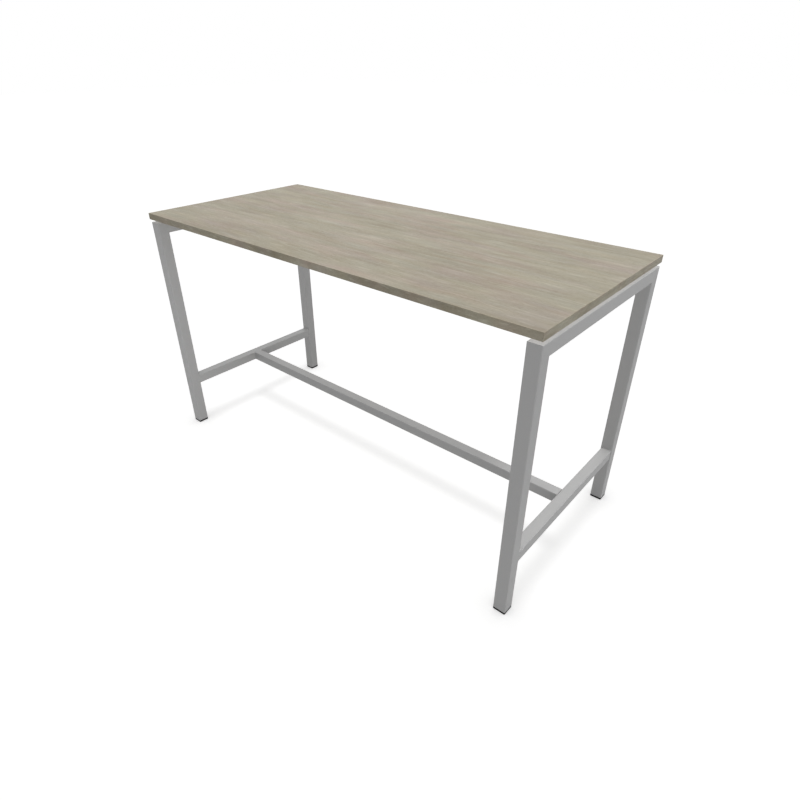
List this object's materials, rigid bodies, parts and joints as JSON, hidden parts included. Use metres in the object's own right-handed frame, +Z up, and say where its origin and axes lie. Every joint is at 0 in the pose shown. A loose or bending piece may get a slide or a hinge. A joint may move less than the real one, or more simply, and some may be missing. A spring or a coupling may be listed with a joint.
{
  "type": "standing meeting table",
  "caption": "Rectangular standing meeting table: an oak-decor top floats on a square-tube frame with end frames, low crossbars, a central foot stretcher and levelling feet.",
  "frame": {"origin": "on the floor, under the centre of the top", "axes": "+X along the length, +Y from the front long side to the rear one, +Z up"},
  "size_m": [1.8, 0.795, 1.008],
  "materials": {
    "oak_decor": "matt oak decor on chipboard",
    "oak_edging": "matt oak decor edge band",
    "silver_coat": "silver-grey powder coat",
    "black_nylon": "black moulded nylon",
    "zinc_steel": "bright zinc plate"
  },
  "bodies": {
    "table": {"tabletop_board": "oak_decor", "front_edge_band": "oak_edging", "rear_edge_band": "oak_edging", "left_edge_band": "oak_edging", "right_edge_band": "oak_edging", "left_top_rail": "silver_coat", "left_crossbar": "silver_coat", "right_top_rail": "silver_coat", "right_crossbar": "silver_coat", "left_front_leg": "silver_coat", "left_rear_leg": "silver_coat", "right_front_leg": "silver_coat", "right_rear_leg": "silver_coat", "front_beam": "silver_coat", "rear_beam": "silver_coat", "foot_stretcher": "silver_coat", "front_beam_left_spigot": "silver_coat", "front_beam_right_spigot": "silver_coat", "rear_beam_left_spigot": "silver_coat", "rear_beam_right_spigot": "silver_coat", "foot_stretcher_left_spigot": "silver_coat", "foot_stretcher_right_spigot": "silver_coat", "front_beam_left_screw": "zinc_steel", "front_beam_right_screw": "zinc_steel", "rear_beam_left_screw": "zinc_steel", "rear_beam_right_screw": "zinc_steel", "foot_stretcher_left_screw": "zinc_steel", "foot_stretcher_right_screw": "zinc_steel", "left_rail_front_spacer": "black_nylon", "left_rail_rear_spacer": "black_nylon", "right_rail_front_spacer": "black_nylon", "right_rail_rear_spacer": "black_nylon", "front_beam_left_spacer": "black_nylon", "front_beam_right_spacer": "black_nylon", "rear_beam_left_spacer": "black_nylon", "rear_beam_right_spacer": "black_nylon", "left_rail_front_top_screw": "zinc_steel", "left_rail_rear_top_screw": "zinc_steel", "right_rail_front_top_screw": "zinc_steel", "right_rail_rear_top_screw": "zinc_steel", "front_beam_left_top_screw": "zinc_steel", "front_beam_right_top_screw": "zinc_steel", "rear_beam_left_top_screw": "zinc_steel", "rear_beam_right_top_screw": "zinc_steel", "left_front_insert": "black_nylon", "left_rear_insert": "black_nylon", "right_front_insert": "black_nylon", "right_rear_insert": "black_nylon"},
    "left_front_foot": {"left_front_pad": "black_nylon"},
    "left_front_screw": {"left_front_stud": "zinc_steel"},
    "left_rear_foot": {"left_rear_pad": "black_nylon"},
    "left_rear_screw": {"left_rear_stud": "zinc_steel"},
    "right_front_foot": {"right_front_pad": "black_nylon"},
    "right_front_screw": {"right_front_stud": "zinc_steel"},
    "right_rear_foot": {"right_rear_pad": "black_nylon"},
    "right_rear_screw": {"right_rear_stud": "zinc_steel"}
  },
  "joints": [
    {"name": "left_front_level", "type": "slide", "parent": "table", "child": "left_front_foot", "axis": [0, 0, 1], "range_m": [-0.015, 0]},
    {"name": "left_front_turn", "type": "hinge", "parent": "left_front_foot", "child": "left_front_screw", "pos_m": [-0.8765, -0.37, 0.0045], "axis": [0, 0, 1], "range_deg": [-3600, 0]},
    {"name": "left_rear_level", "type": "slide", "parent": "table", "child": "left_rear_foot", "axis": [0, 0, 1], "range_m": [-0.015, 0]},
    {"name": "left_rear_turn", "type": "hinge", "parent": "left_rear_foot", "child": "left_rear_screw", "pos_m": [-0.8765, 0.37, 0.0045], "axis": [0, 0, 1], "range_deg": [-3600, 0]},
    {"name": "right_front_level", "type": "slide", "parent": "table", "child": "right_front_foot", "axis": [0, 0, 1], "range_m": [-0.015, 0]},
    {"name": "right_front_turn", "type": "hinge", "parent": "right_front_foot", "child": "right_front_screw", "pos_m": [0.8765, -0.37, 0.0045], "axis": [0, 0, 1], "range_deg": [-3600, 0]},
    {"name": "right_rear_level", "type": "slide", "parent": "table", "child": "right_rear_foot", "axis": [0, 0, 1], "range_m": [-0.015, 0]},
    {"name": "right_rear_turn", "type": "hinge", "parent": "right_rear_foot", "child": "right_rear_screw", "pos_m": [0.8765, 0.37, 0.0045], "axis": [0, 0, 1], "range_deg": [-3600, 0]}
  ],
  "couplings": [
    {"joint": "left_front_turn", "follows": "left_front_level", "rad_per_m": 4188.8},
    {"joint": "left_rear_turn", "follows": "left_rear_level", "rad_per_m": 4188.8},
    {"joint": "right_front_turn", "follows": "right_front_level", "rad_per_m": 4188.8},
    {"joint": "right_rear_turn", "follows": "right_rear_level", "rad_per_m": 4188.8}
  ]
}
